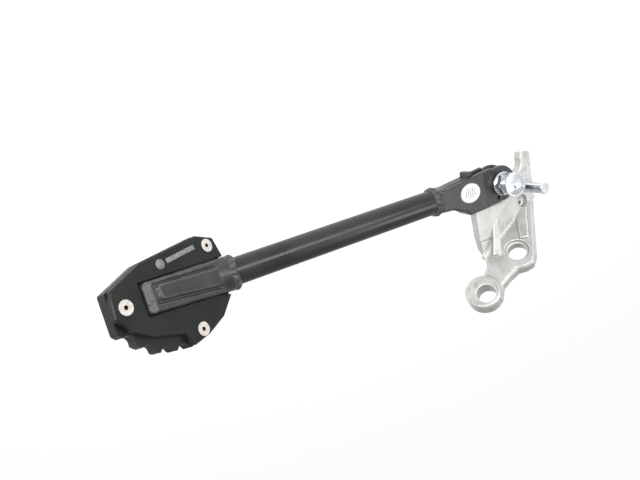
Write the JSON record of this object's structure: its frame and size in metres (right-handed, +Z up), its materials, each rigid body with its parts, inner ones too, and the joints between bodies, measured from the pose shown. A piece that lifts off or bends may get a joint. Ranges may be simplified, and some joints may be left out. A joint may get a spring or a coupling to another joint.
{
  "type": "motorcycle side stand",
  "caption": "Folding motorcycle side stand: cast pivot bracket, forked tubular leg and an angled foot with a bolted, toothed enlarging plate.",
  "frame": {"origin": "axis of the bracket's main bolt hole, at the front face of its plate", "axes": "+Y is the main bolt hole's axis, pointing away from the engine; +Z is up on the motorcycle; +X is forward"},
  "size_m": [0.3196, 0.2626, 0.1183],
  "materials": {
    "cast_bracket": "zinc-plated casting, slightly rough",
    "zinc_plate": "bright zinc plate",
    "bronze": "plain bearing bronze",
    "black_paint": "satin black paint over steel",
    "black_anodised": "black anodised, satin",
    "stainless": "plain stainless",
    "label": "matt printed film"
  },
  "bodies": {
    "bracket": {"mounting_bracket": "cast_bracket", "spring_post": "zinc_plate", "pivot_bush": "bronze"},
    "leg": {"fork": "black_paint", "stop_block": "black_paint", "inspection_label": "label", "pivot_bolt": "zinc_plate", "bolt_washer": "zinc_plate", "nut_washer": "zinc_plate", "pivot_nut": "zinc_plate", "thrust_washer_outer": "bronze", "thrust_washer_inner": "bronze", "leg_tube": "black_paint", "fork_weld": "black_paint", "foot_weld": "black_paint", "foot_forging": "black_paint", "extension_top_plate": "black_anodised", "extension_base_plate": "black_anodised", "plate_screw_1": "stainless", "plate_screw_2": "stainless", "plate_screw_3": "stainless"}
  },
  "joints": [
    {"name": "leg_pivot", "type": "hinge", "parent": "bracket", "child": "leg", "pos_m": [0.05939, 0.03241, -0.07835], "axis": [-0.3873, -0.4589, -0.7996], "range_deg": [0, 112]}
  ]
}
